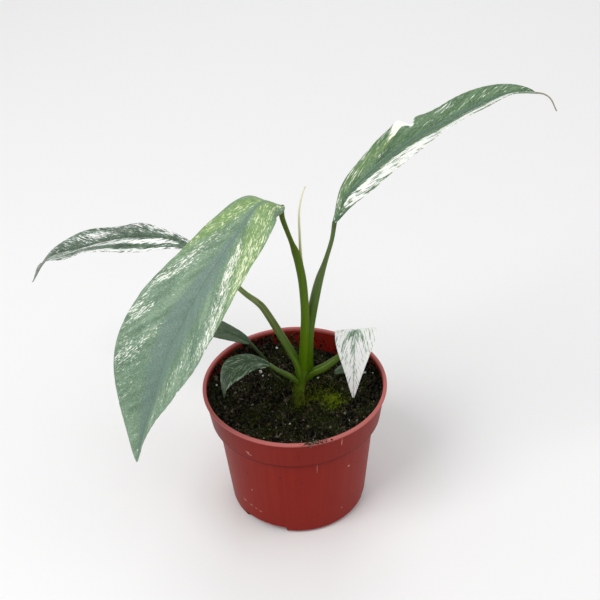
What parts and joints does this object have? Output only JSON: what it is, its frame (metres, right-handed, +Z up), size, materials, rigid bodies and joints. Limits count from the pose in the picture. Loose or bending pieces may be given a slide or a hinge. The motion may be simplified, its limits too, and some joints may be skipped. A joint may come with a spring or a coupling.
{
  "type": "potted happy leaf epipremnum pinnatum",
  "caption": "Variegated climbing aroid with upright sheathed stalks and long drooping blades, rooted in soil in a round tapered nursery pot.",
  "frame": {"origin": "centre of the pot's underside, on the surface that the pot stands on", "axes": "+Z up, +X to the right and -Y towards the viewer as the plant is usually seen; the long leaf on the left reaches towards -X and +Y"},
  "size_m": [0.3509, 0.1917, 0.2815],
  "materials": {
    "pot_plastic": "satin injection-moulded polypropylene, terracotta red",
    "potting_soil": "damp dark peat with moss and perlite",
    "green_stem": "smooth, faintly waxy plant stem",
    "leaf_stalk": "smooth, faintly waxy, with fine lengthwise lines",
    "leaf_blade": "leathery, softly glossy, streaked green and cream",
    "white_leaf_blade": "leathery, cream white with fine green flecks",
    "dark_leaf_blade": "leathery, dark green with fine pale streaks",
    "young_leaf": "smooth, pale cream, tightly rolled"
  },
  "bodies": {
    "root": {"pot": "pot_plastic", "soil": "potting_soil", "stem": "green_stem", "right_leaf_blade": "leaf_blade", "right_leaf_stalk": "leaf_stalk", "front_leaf_blade": "leaf_blade", "front_leaf_stalk": "leaf_stalk", "left_leaf_blade": "leaf_blade", "left_leaf_stalk": "leaf_stalk", "small_white_leaf_blade": "white_leaf_blade", "small_white_leaf_stalk": "leaf_stalk", "small_left_leaf_blade": "dark_leaf_blade", "small_left_leaf_stalk": "leaf_stalk", "dark_back_leaf_blade": "dark_leaf_blade", "dark_back_leaf_stalk": "leaf_stalk", "tiny_leaf_blade": "dark_leaf_blade", "tiny_leaf_stalk": "leaf_stalk", "new_leaf_spike": "young_leaf"}
  },
  "joints": []
}
